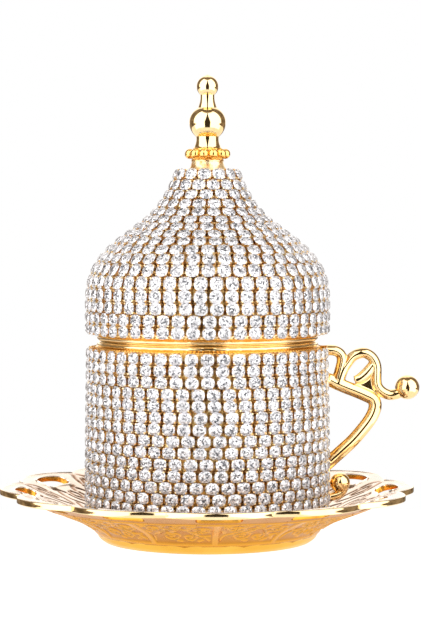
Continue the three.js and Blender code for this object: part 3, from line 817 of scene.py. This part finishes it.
def dish_rows(inner, rounding, upper, lower):
    """Rows from the middle out to the piercings, down their inner wall, back underneath and over the foot.

    Also the kind of each row's faces, and the row from which the wall goes down.
    """
    flat = np.zeros(len(inner))
    rows = [(flat + r, flat + UPPER_FACE[0][1], flat) for r in (0, 12, 24, WELL_R - 0.3)]
    for part in np.linspace(0, 1, UPPER_STEPS):
        r = WELL_R + part * (inner - rounding - WELL_R)
        rows.append((r, *upper(r)))
    rows.extend(edge(inner, upper(inner - rounding), rounding, 1, 1))
    wall_at = len(rows) - 1
    rows.extend(reversed(list(edge(inner, lower(inner - rounding), rounding, -1, 1))))
    foot_at = len(rows) + UNDER_STEPS - FOOT_BAND_STEPS
    for part in np.linspace(1, 0, UNDER_STEPS):
        r = FOOT_R + part * (inner - rounding - FOOT_R)
        rows.append((r, *lower(r)))
    for r, z in ((FOOT_R - 0.25, 0), (FOOT_INNER_R, 0), (FOOT_INNER_R - 0.8, RECESS_Z), (0, RECESS_Z)):
        rows.append((flat + r, flat + z, flat + FOOT_SHADE))
    kinds = [0] * wall_at + [2] * (foot_at - wall_at) + [3] * (len(rows) - 1 - foot_at)
    return rows, kinds, wall_at


def border_rows(outer, rim, rounding, upper, lower):
    """Rows from the piercings' outer wall out to the rim, round it and back, and their kinds."""
    shares = (1 - np.cos(np.linspace(0, math.pi, BORDER_STEPS))) / 2
    across = [outer + rounding + part * (rim - EDGE_ROUND - outer - rounding) for part in shares]
    rows = list(reversed(list(edge(outer, upper(outer + rounding), rounding, 1, -1))))
    rows.extend((r, *upper(r)) for r in across)
    rim_start = len(rows)
    rows.extend(edge(rim, upper(rim - EDGE_ROUND), EDGE_ROUND, 1, 1))
    rows.extend(reversed(list(edge(rim, lower(rim - EDGE_ROUND), EDGE_ROUND, -1, 1))))
    rim_end = len(rows)
    rows.extend((r, *lower(r)) for r in reversed(across))
    rows.extend(edge(outer, lower(outer + rounding), rounding, -1, -1))
    return rows, [0] * rim_start + [1] * (rim_end - rim_start) + [2] * (len(rows) - rim_end)


def saucer():
    degrees = lobe_columns()
    rim, inner, outer, rounding = lobe_outline(degrees)
    upper_line, lower_line = smooth_line(UPPER_FACE, 6), smooth_line(UNDERSIDE, 6)

    def from_piercing(r):
        beyond = np.clip(np.abs(degrees) - PIERCING_HALF_DEG, 0, None)
        middle, opening = (inner + outer) / 2, (outer - inner) / 2
        return np.hypot(np.clip(np.abs(r - middle) - opening, 0, None), np.radians(beyond) * r)

    def upper(r):
        relief = upper_relief(r, degrees, from_piercing(r), rim - r)
        relief = np.where(r > RELIEF_FROM_R, relief, 0)
        return np.interp(r, upper_line[:, 0], upper_line[:, 1]) + relief, relief

    def lower(r):
        relief = np.where(r > VINE_FROM_R - 1, lower_relief(r, degrees), 0)
        relief = relief * np.clip(from_piercing(r) / RELIEF_CLEAR, 0, 1)
        return np.interp(r, lower_line[:, 0], lower_line[:, 1]) - relief, relief

    angle, whole = np.radians(degrees), np.abs(degrees) > PIERCING_HALF_DEG - 0.01
    dish, dish_kinds, wall_at = dish_rows(inner, rounding, upper, lower)
    border, border_kinds = border_rows(outer, rim, rounding, upper, lower)
    dish_mesh = all_lobes(dish, dish_kinds, angle, wall_at, whole)
    border_mesh = all_lobes(border, border_kinds, angle, len(border) - 1, whole)
    shape = join([dish_mesh[:2], border_mesh[:2]])
    kinds, reliefs = dish_mesh[2] + border_mesh[2], dish_mesh[3] + border_mesh[3]
    materials = [SAUCER_TOP, GOLD, SAUCER_UNDER_PAINTED_SHADE, GOLD_FOOT_PAINTED_SHADE]
    add_piece("saucer_dish", shape, materials, "saucer", ["saucer"], 50, kinds, reliefs, True)


saucer()

# Holder, lid and porcelain


def reach(node):
    """Largest radius, and lowest and highest point, of a turned node."""
    points = node_points(node)
    return np.hypot(points[:, 0], points[:, 1]).max(), points[:, 2].min(), points[:, 2].max()


def kinds_along(shape, *steps):
    """Kinds 0, 1 and so on for the faces of a turned profile, each over so many of its steps, then 0."""
    kinds = [kind for kind, count in enumerate(steps) for _ in range(count * ROUND)]
    return kinds + [0] * (len(shape[1]) - len(kinds))


def granulation(name, body, profile, depth):
    """A narrow band of small grains round the axis."""
    middle = (profile[1][1] + profile[-2][1]) / 2

    def ripple(r, z, angles):
        share = max(0, 1 - abs(z - middle) / GRAIN_SPREAD)
        return depth * share * np.cos(GRAINS * angles)

    add_piece(name, turned(profile, GRAINS * 6, True, ripple), GOLD_CAST, body, smooth=60)


def offset(line, thickness):
    """A line moved sideways by the thickness, to the left of its direction."""
    slope = np.gradient(line, axis=0)
    slope /= np.linalg.norm(slope, axis=1)[:, None]
    return line + thickness * np.column_stack([-slope[:, 1], slope[:, 0]])


def holder():
    shell_r, foot_z, rim_z = reach("cup_holder")
    top_r, foot_r = shell_r - HOLDER_TAPER, HOLDER_FOOT_R
    bead_r, bead_z = shell_r - BEAD_IN, rim_z - BEAD_OFF_SEAM - BEAD_R
    band_z = rim_z - HOLDER_BAND_H
    foot = [(0, foot_z + 1.6), (foot_r - 4.2, foot_z + 1.6), (foot_r - 3.7, foot_z), (foot_r - 0.3, foot_z),
            (foot_r, foot_z + 0.3), (foot_r, foot_z + 1.1), (foot_r + 0.3, foot_z + 1.6)]
    shell = [(shell_r - 0.7, foot_z + 4.1), (shell_r - 0.2, foot_z + 4.5), (shell_r, foot_z + 4.9),
             (top_r, band_z)]
    rim = [(top_r - 0.1, band_z + 0.08), (bead_r + 0.2, band_z + 0.3),
           *arc(bead_r, bead_z, BEAD_R, -70, 80), (bead_r, rim_z), (bead_r - 0.7, rim_z),
           (bead_r - 0.95, rim_z - 0.2), (bead_r - 0.97, rim_z - 1)]
    inside = [(top_r - 1.4, band_z), (shell_r - 1.4, foot_z + 4.9), (shell_r - 1.9, foot_z + 3.9),
              (foot_r - 0.6, foot_z + 3), (0, foot_z + 3)]
    shape = turned([*foot, *shell, *rim, *inside])
    kinds = kinds_along(shape, len(foot) + len(shell) - 2, 1)
    add_piece("holder_shell", shape, [GOLD, GOLD_WALL_PAINTED_SHADE], "holder", ["cup_holder"], 50, kinds)
    granulation("holder_granulation", "holder", [
        (top_r - 0.9, band_z - 0.05), (top_r - 0.05, band_z - 0.03), (top_r - 0.02, band_z + 0.12),
        (top_r - 0.3, band_z + 0.3), (top_r - 0.6, band_z + 0.38), (top_r - 0.9, band_z + 0.36)], 0.1)


def lid():
    dome_r, seat_z, top_z = reach("lid_shell")
    bead_r = min(dome_r - BEAD_IN + 0.3, LID_BEAD_MOST_R)
    bead_z = seat_z + BEAD_OFF_SEAM + 0.1 + BEAD_R
    dome = smooth_line(DOME, 6)
    neck = smooth_line(NECK, 4)[1:]
    rim = [(LID_BORE_R + 0.05, seat_z), (bead_r - 0.25, seat_z), (bead_r, seat_z + 0.1),
           *arc(bead_r, bead_z, BEAD_R, -75, 75), (bead_r + 0.1, seat_z + 1.6), (bead_r + 0.1, seat_z + 1.7),
           (dome_r - 0.3, seat_z + 1.75), (dome_r - 0.02, seat_z + 2.2)]
    top = [(4.28, top_z - 0.42), (4.29, top_z - 0.2), (4.1, top_z), (STUD_HOLE_R, top_z),
           (STUD_HOLE_R, top_z - 1.3), (3.2, top_z - 1.3), (3.2, top_z - 2.9)]
    bore = [(LID_BORE_R, seat_z + 1.9), (LID_BORE_R, seat_z + 0.2)]
    profile = [*rim, *dome.tolist(), *neck.tolist(), *top, *offset(dome, LID_WALL_T)[::-1].tolist(), *bore]
    shape = turned(profile, closed=True)
    kinds = kinds_along(shape, len(rim), len(dome) - 1, len(neck))
    materials = [GOLD_SATIN, GOLD_WALL_PAINTED_SHADE, GOLD_SETTING]
    add_piece("lid_dome", shape, materials, "lid", ["lid_shell"], 50, kinds)
    granulation("lid_granulation", "lid", [
        (dome_r - 1.0, seat_z + 1.66), (dome_r - 0.25, seat_z + 1.68), (dome_r - 0.12, seat_z + 1.9),
        (dome_r - 0.1, seat_z + 2.1), (dome_r - 0.25, seat_z + 2.3), (dome_r - 1.0, seat_z + 2.32)], 0.09)


def porcelain():
    lip_r, foot_z, lip_z = reach("porcelain_cup")
    outside = smooth_line([(14.5, foot_z + 0.5), (16.1, foot_z + 1.3), (lip_r - 4.4, foot_z + 4.6),
                           (lip_r - 1.2, foot_z + 11), (lip_r - 0.1, foot_z + 22), (lip_r, lip_z - 1)], 6)
    lining = offset(outside, CUP_WALL_T)
    foot = [(0, foot_z + 0.8), (11.5, foot_z + 0.8), (12.1, foot_z + 0.1), (12.5, foot_z), (14.1, foot_z)]
    lip = arc(lip_r - CUP_WALL_T / 2, lip_z - 1, 1.0, 0, 180, 12)
    profile = [*foot, *outside.tolist(), *lip, *lining[:3:-1].tolist(), (11, foot_z + 3.25),
               (0, foot_z + 3.2)]
    add_piece("porcelain_bowl", turned(profile), PORCELAIN, "insert", ["porcelain_cup"], 60)


holder()
lid()
porcelain()

# Handle and its screws

SHELL_R, _, RIM_Z = reach("cup_holder")


def sweep(points, width, thickness):
    """A bar through points at (distance from the shell, height above the rim), ridged along its middle."""
    line = smooth_line(points, ROD_STEPS) + np.array([SHELL_R, RIM_Z])
    along = np.gradient(line, axis=0)
    along /= np.linalg.norm(along, axis=1)[:, None]
    across = np.column_stack([-along[:, 1], along[:, 0]])
    widths = np.broadcast_to(width, len(line))
    sides = ROD_SIDES
    turn = np.arange(sides) * TAU / sides
    flat, deep = (np.sign(part) * np.abs(part) ** (2 / ROD_POWER) for part in (np.cos(turn), np.sin(turn)))
    points, faces = [], []
    for i, place in enumerate(line):
        for f, d in zip(flat, deep):
            x, z = place + across[i] * f * widths[i] / 2
            points.append((x, d * thickness / 2, z))
    for i in range(len(line) - 1):
        for j in range(sides):
            k = (j + 1) % sides
            faces.append((i * sides + j, i * sides + k, (i + 1) * sides + k, (i + 1) * sides + j))
    faces.append(tuple(range(sides))[::-1])
    faces.append(tuple(range((len(line) - 1) * sides, len(line) * sides)))
    return recalc(points, faces)


def web():
    """The thin recessed plate between the leaf, the scroll and the bar."""
    points = [(SHELL_R + out, side * WEB_T / 2, RIM_Z + up) for side in (-1, 1) for out, up in WEB]
    count = len(WEB)
    sides = [(i, (i + 1) % count, count + (i + 1) % count, count + i) for i in range(count)]
    return recalc(points, [tuple(range(count)), tuple(range(count, 2 * count)), *sides])


def ball(place, radius):
    """A ball at (distance from the shell, height above the rim)."""
    half = arc(0, 0, radius, -86, 86, BALL_STEPS)
    points, faces = turned([(0, -radius), *half, (0, radius)], BALL_STEPS)
    return points + np.array([SHELL_R + place[0], 0, RIM_Z + place[1]]), faces


def fused(parts):
    """Parts as one surface, softened where they meet."""
    points, faces = join(parts)
    mesh = bpy.data.meshes.new("fused")
    mesh.from_pydata(points.tolist(), [], faces)
    rough = bpy.data.objects.new("fused", mesh)
    bpy.context.scene.collection.objects.link(rough)
    melt = rough.modifiers.new("melt", "REMESH")
    melt.mode = "VOXEL"
    melt.voxel_size = CELL
    soften = rough.modifiers.new("soften", "SMOOTH")
    soften.factor = 0.5
    soften.iterations = SOFTENINGS
    done = rough.evaluated_get(bpy.context.evaluated_depsgraph_get()).to_mesh()
    points = np.array([v.co for v in done.vertices])
    faces = [tuple(p.vertices) for p in done.polygons]
    bpy.data.objects.remove(rough)
    bpy.data.meshes.remove(mesh)
    return points, faces


def handle():
    taper = LEAF_W * (0.55 + 0.45 * np.sin(np.linspace(0.5, 2.6, (len(LEAF) - 1) * ROD_STEPS + 1)))
    boss, boss_faces = turned([(0, 0), (1.9, 0), (1.9, 1.7), (1.5, 2.15), (0, 2.15)], 36)
    boss = boss[:, [2, 0, 1]] + np.array([SHELL_R + ROOT_CLEAR, 0, middle_z("handle_screw_upper")])
    root_z = middle_z("handle_screw_lower")
    strip = block(SHELL_R + ROOT_CLEAR, SHELL_R + STRIP_OUT, -STRIP_HALF_W, STRIP_HALF_W,
                  root_z - STRIP_DOWN, root_z + STRIP_UP)
    rods = [sweep(UPPER_ARM, ROD_W, ROD_T), sweep(SCROLL, ROD_W, ROD_T), sweep(LEAF, taper, LEAF_T),
            sweep(BAR, BAR_W, ROD_T), sweep(TAIL, TAIL_W, TAIL_T)]
    casting = fused([*rods, (boss, boss_faces), strip, web()])
    shape = join([casting, ball(SCROLL_BALL, SCROLL_BALL_R), ball(TAIL_BALL, TAIL_BALL_R)])
    add_piece("handle_casting", shape, GOLD_ROD, "holder", ["handle"], 70)


def middle_z(node):
    low, high = box_mm(node)
    return (low[2] + high[2]) / 2


def screw(node):
    """A hex socket screw along X, its head towards the axis."""
    low, high = box_mm(node)
    head_r = (high[1] - low[1]) / 2
    length = high[0] - low[0]
    threads = [(SHANK_R - THREAD_DEPTH * (i % 2), 1.1 + i * THREAD_PITCH)
               for i in range(int((length - 1.5) / THREAD_PITCH))]
    profile = [(0, 0.5), (SOCKET_R, 0.5), (SOCKET_R, 0), (head_r - 0.2, 0), (head_r, 0.2), (head_r, 0.9),
               (SHANK_R, 0.9), *threads, (SHANK_R - 0.2, length), (0, length)]
    points, faces = turned(profile, 36, False, hexagon(SOCKET_R))
    points = points[:, [2, 0, 1]] + np.array([low[0], 0, middle_z(node)])
    add_piece(f"{node}_detail", (points, faces), STEEL, "holder", [node], 35)


handle()
screw("handle_screw_upper")
screw("handle_screw_lower")

# Finial


def finial():
    _, stud_z, tip_z = reach("finial")
    seat_z = reach("finial_collar")[2]
    stud = [(0, stud_z), (1.0, stud_z), (STUD_R, stud_z + 0.25), (STUD_R, seat_z)]
    flange = [(3.7, seat_z), (3.8, seat_z + 0.2), (3.6, seat_z + 0.45)]
    stem = smooth_line([(3.5, seat_z + 0.55), (3.15, seat_z + 1.4), (2.95, seat_z + 2.4),
                        (3.0, seat_z + 3.5)], 4)
    lower_half = arc(0, BIG_BALL_Z, BIG_BALL_R, -51, 0, 14)
    upper_half = [(r, BIG_BALL_Z + BIG_BALL_SQUASH * (z - BIG_BALL_Z))
                  for r, z in list(arc(0, BIG_BALL_Z, BIG_BALL_R, 0, 59, 14))[1:]]
    waist = [(2.22, 113.8), (2.0, 114.5), (1.86, 115.3), (1.83, 116)]
    small_ball = arc(0, SMALL_BALL_Z, SMALL_BALL_R, -50, 60, 24)
    profile = [*stud, *flange, *stem.tolist(), *lower_half, *upper_half, *waist, *small_ball,
               (0.7, tip_z - 0.3), (0, tip_z)]
    add_piece("finial_turned", turned(profile, 96), GOLD, "lid", ["finial"], 35)


def collar():
    _, low_z, high_z = reach("finial_collar")
    base = [(STUD_HOLE_R, low_z), (4.1, low_z), (4.2, low_z + 0.3), (4.7, low_z + 0.9), (4.7, low_z + 2.0),
            (4.0, low_z + 2.45), (3.9, high_z), (STUD_HOLE_R, high_z)]
    bead_side = arc(0, 0, COLLAR_BEAD_R, -80, 80, 20)
    bead, bead_faces = turned([(0, -COLLAR_BEAD_R), *bead_side, (0, COLLAR_BEAD_R)], 28)
    parts = [turned(base, 96, True)]
    for i in range(COLLAR_BEADS):
        angle = (i + 0.5) * TAU / COLLAR_BEADS
        place = np.array([COLLAR_RING_R * math.cos(angle), COLLAR_RING_R * math.sin(angle),
                          low_z + COLLAR_RING_UP])
        parts.append((bead + place, bead_faces))
    add_piece("collar_beads", join(parts), GOLD_CAST, "lid", ["finial_collar"], 50)


def nut():
    low, high = box_mm("finial_nut")
    flat_r = high[0]
    profile = [(STUD_HOLE_R, low[2] + 0.2), (STUD_HOLE_R + 0.2, low[2]), (flat_r * 0.93, low[2]),
               (flat_r, low[2] + 0.3), (flat_r, high[2] - 0.3), (flat_r * 0.93, high[2]),
               (STUD_HOLE_R + 0.2, high[2]), (STUD_HOLE_R, high[2] - 0.2)]
    shape = turned(profile, 48, True, hexagon(flat_r))
    add_piece("nut_hex", shape, STEEL, "lid", ["finial_nut"], 35)


finial()
collar()
nut()

# Stage


def seen_directly(tree):
    """1 where the camera sees the surface itself, 0 where it lights other things."""
    return tree.nodes.new("ShaderNodeLightPath").outputs["Is Camera Ray"]


def stage():
    """A lit white table, a little larger than the part of it that the camera sees."""
    floor = bpy.data.meshes.new("floor")
    corners = []
    for y, sides in ((-TABLE_FRONT, (-1, 1)), (TABLE_BACK, (1, -1))):
        half = (CAMERA_DISTANCE + y) * FRAME_WIDTH_PX / 2 / FOCAL_PX * TABLE_MARGIN
        corners.extend((side * half * MM, y * MM, 0) for side in sides)
    floor.from_pydata(corners, [], [(0, 1, 2, 3)])
    material, tree, shader = new_material("floor_paper")
    feed(tree, shader, {
        "Base Color": ramp(tree, noise(tree, 3), (0.30, 0.30, 0.30), (0.33, 0.33, 0.33)),
        "Roughness": 0.9,
        "Emission Color": (1, 1, 1, 1),
        "Emission Strength": spread(tree, seen_directly(tree), TABLE_GLOW, 1)})
    floor.materials.append(material)
    plane = bpy.data.objects.new("floor", floor)
    plane.rotation_euler = (0, 0, -math.radians(CAMERA_AZIMUTH))
    bpy.context.scene.collection.objects.link(plane)


def step_up(tree, value, start, end):
    """0 below start and 1 above end."""
    share = maths(tree, "SUBTRACT", value, start)
    return maths(tree, "DIVIDE", share, maths(tree, "SUBTRACT", end, start), clamp=True)


def times(tree, value, *others):
    for other in others:
        value = maths(tree, "MULTIPLY", value, other)
    return value


def light_level(tree, azimuth, up, past_gap):
    """Strength of the light from the softboxes, the backdrop and the table."""
    above_low_foot = step_up(tree, up, LOW_BOX_FOOT, LOW_BOX_FOOT + LOW_BOX_FADE)
    above_low_top = step_up(tree, up, LOW_BOX_TOP - LOW_BOX_FADE, LOW_BOX_TOP)
    low_edge = maths(tree, "SUBTRACT", above_low_foot, above_low_top)
    end = maths(tree, "MULTIPLY_ADD", low_edge, LOW_BOX_END - BOX_END, BOX_END)
    past_end = step_up(tree, azimuth, end, maths(tree, "ADD", end, BOX_END_FADE))
    before_end = maths(tree, "SUBTRACT", 1, past_end)
    under_top = maths(tree, "SUBTRACT", 1, step_up(tree, up, BOX_TOP, BOX_TOP + BOX_TOP_FADE))
    off_near = step_up(tree, up, BOX_FOOT - BOX_FOOT_FADE, BOX_FOOT)
    boxes = times(tree, past_gap, before_end, under_top, off_near, BOX_LEVEL)
    past_sides = step_up(tree, azimuth, BACKDROP_FROM, BACKDROP_FROM + BACKDROP_FADE)
    over_table = step_up(tree, up, -BACKDROP_FOOT_FADE, 0)
    back = times(tree, past_sides, under_top, over_table, BACKDROP_LEVEL)
    off_far = maths(tree, "MAXIMUM", step_up(tree, up, FAR_TABLE_FROM, FAR_TABLE_TO), before_end)
    table = maths(tree, "MULTIPLY_ADD", times(tree, off_near, off_far), -LOWER_LEVEL, LOWER_LEVEL)
    return maths(tree, "MAXIMUM", maths(tree, "MAXIMUM", boxes, back), table)


def background(tree, colour, strength):
    inputs = {"Color": colour, "Strength": strength}
    return new_node(tree, "Background", inputs).outputs["Background"]


def world_light():
    """White where the camera sees it. Its light comes from two tall softboxes with a dark gap between
    them behind the camera, a backdrop, the table all round and a dim, patchy room.
    """
    world = bpy.data.worlds.new("studio")
    bpy.context.scene.world = world
    world.use_nodes = True
    tree = world.node_tree
    tree.nodes.clear()
    turn = new_node(tree, "Mapping", {
        "Vector": tree.nodes.new("ShaderNodeTexCoord").outputs["Generated"],
        "Rotation": (0, 0, math.radians(CAMERA_AZIMUTH))})
    aside, ahead, up = new_node(tree, "SeparateXYZ", {"Vector": turn.outputs["Vector"]}).outputs
    azimuth = maths(tree, "ABSOLUTE", maths(tree, "ARCTAN2", aside, times(tree, ahead, -1)))
    gap = maths(tree, "MULTIPLY_ADD", maths(tree, "MAXIMUM", up, 0), -GAP_NARROWS, GAP_HALF)
    past_gap = step_up(tree, azimuth, gap, maths(tree, "ADD", gap, GAP_EDGE))
    patches = step_up(tree, noise(tree, ROOM_PATCHES, 4), PATCH_FROM, PATCH_TO)
    lit_room = times(tree, past_gap, spread(tree, patches, ROOM_LEAST, 1))
    white = (1, 1, 1, 1)
    both = new_node(tree, "AddShader", {
        0: background(tree, ramp(tree, lit_room, GAP_COLOUR, ROOM_COLOUR, 0, 1), 1),
        1: background(tree, white, light_level(tree, azimuth, up, past_gap))})
    choice = new_node(tree, "MixShader", {
        "Fac": seen_directly(tree),
        1: both.outputs["Shader"],
        2: background(tree, white, 1)})
    new_node(tree, "OutputWorld", {"Surface": choice.outputs["Shader"]})


def camera():
    data = bpy.data.cameras.new("camera")
    data.sensor_width = SENSOR_MM
    data.lens = FOCAL_PX / FRAME_HEIGHT_PX * SENSOR_MM
    data.shift_x = (FRAME_WIDTH_PX / 2 - AXIS_PX) / FRAME_HEIGHT_PX
    data.clip_start = 0.05
    data.clip_end = 20
    viewer = bpy.data.objects.new("camera", data)
    azimuth = math.radians(CAMERA_AZIMUTH)
    viewer.location = (-CAMERA_DISTANCE * math.sin(azimuth) * MM, -CAMERA_DISTANCE * math.cos(azimuth) * MM,
                       CAMERA_HEIGHT * MM)
    viewer.rotation_euler = (math.radians(90 - CAMERA_TILT), 0, -azimuth)
    bpy.context.scene.collection.objects.link(viewer)
    bpy.context.scene.camera = viewer


stage()
world_light()
camera()
bpy.context.scene.view_settings.view_transform = "Standard"
